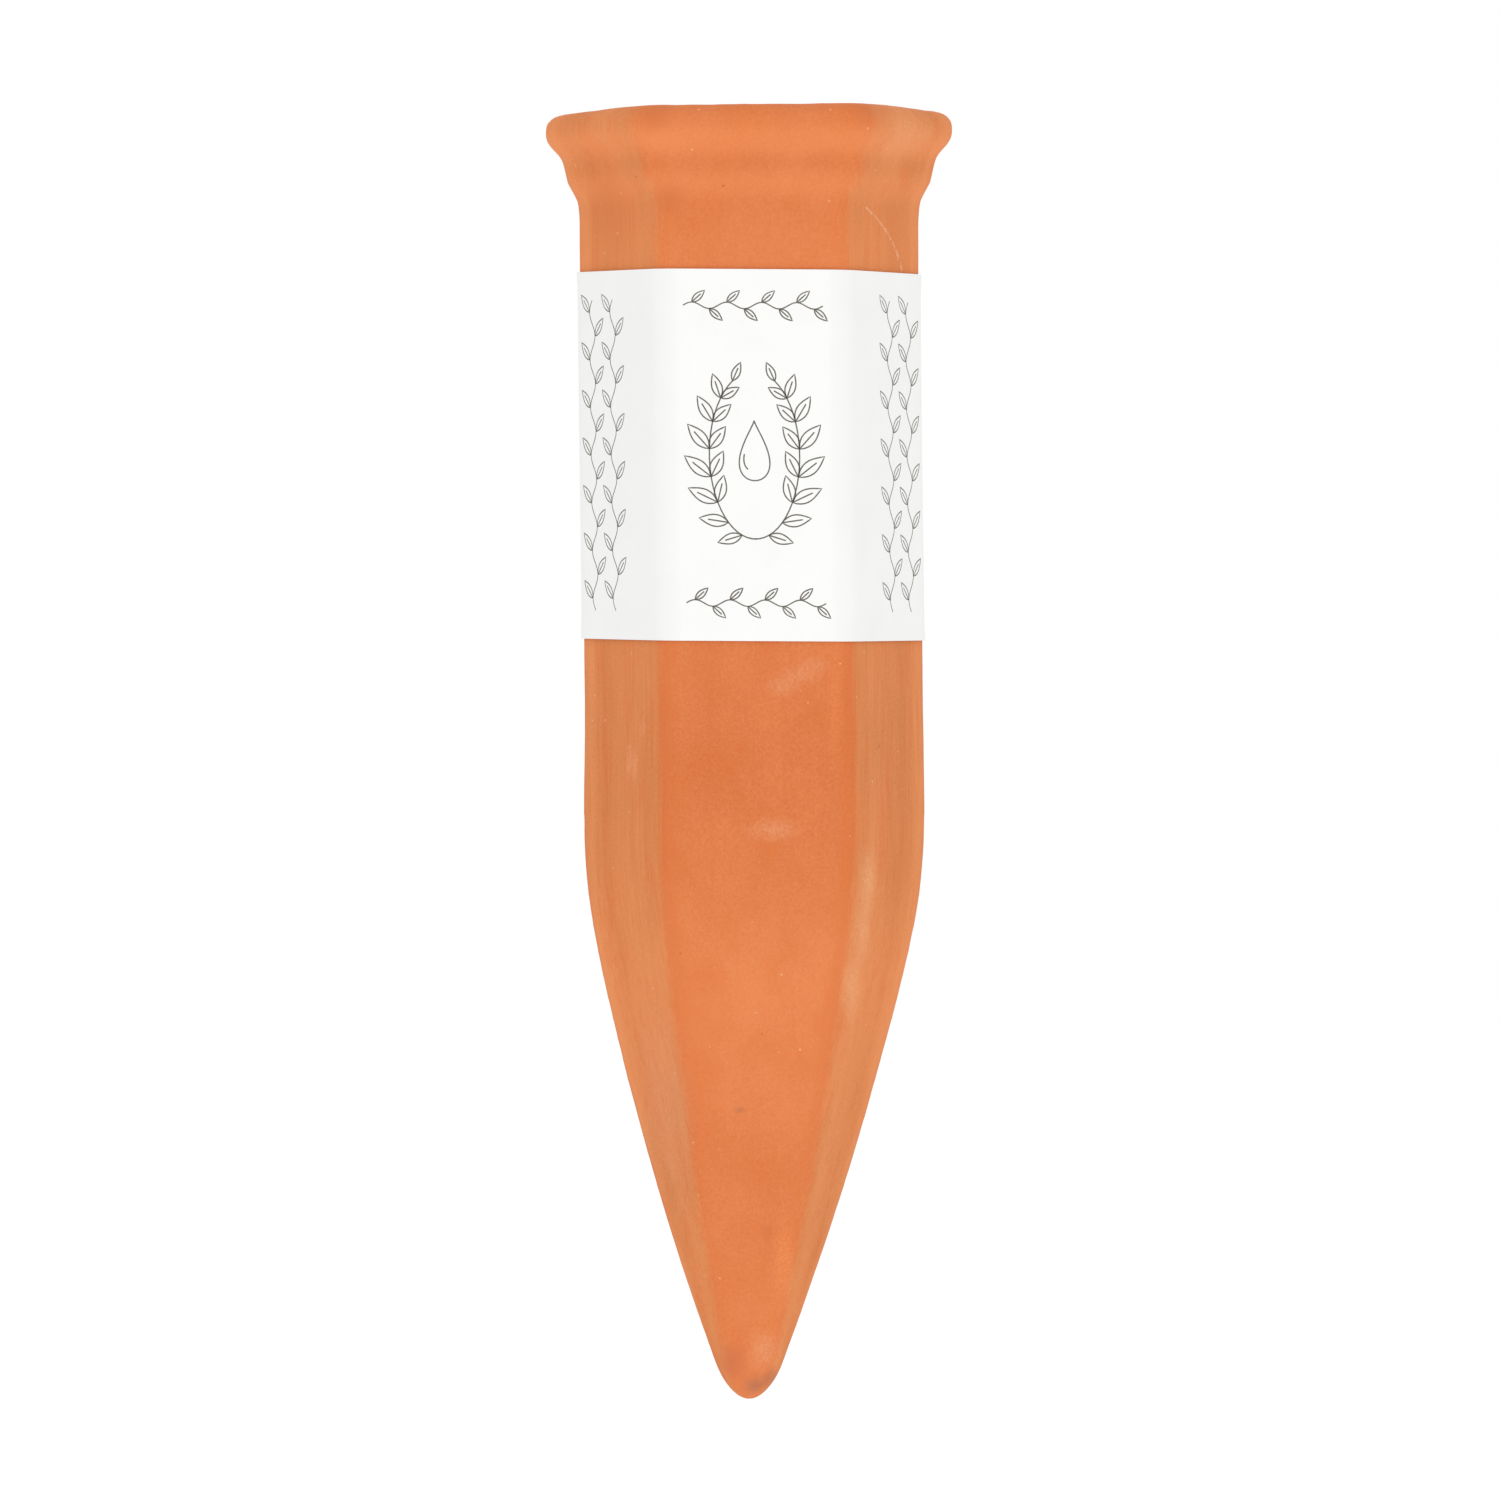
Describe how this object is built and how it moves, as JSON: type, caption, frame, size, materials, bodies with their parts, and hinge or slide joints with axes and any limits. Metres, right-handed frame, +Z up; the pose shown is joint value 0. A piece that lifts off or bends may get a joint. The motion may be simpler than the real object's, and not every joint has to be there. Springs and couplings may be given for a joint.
{
  "type": "self watering spike",
  "caption": "Hollow hexagonal terracotta spike with a moulded rim that takes an upturned bottle neck, and a lapped paper sleeve that slides off over the tip.",
  "frame": {"origin": "the spike's tip, on its long axis", "axes": "+Z up the long axis through the mouth, -Y out of the wide front face, +X to the right of that face seen from the front"},
  "size_m": [0.0566, 0.0492, 0.18],
  "materials": {
    "terracotta": "unglazed, matt, finely streaked",
    "sleeve_paper": "uncoated white paper, printed in dark grey",
    "adhesive_film": "translucent double-sided film"
  },
  "bodies": {
    "spike": {"terracotta_spike": "terracotta"},
    "sleeve": {"paper_sleeve": "sleeve_paper", "seam_tape": "adhesive_film"}
  },
  "joints": [
    {"name": "sleeve_slide", "type": "slide", "parent": "spike", "child": "sleeve", "axis": [0, 0, 1], "range_m": [-0.16, 0.008]}
  ]
}
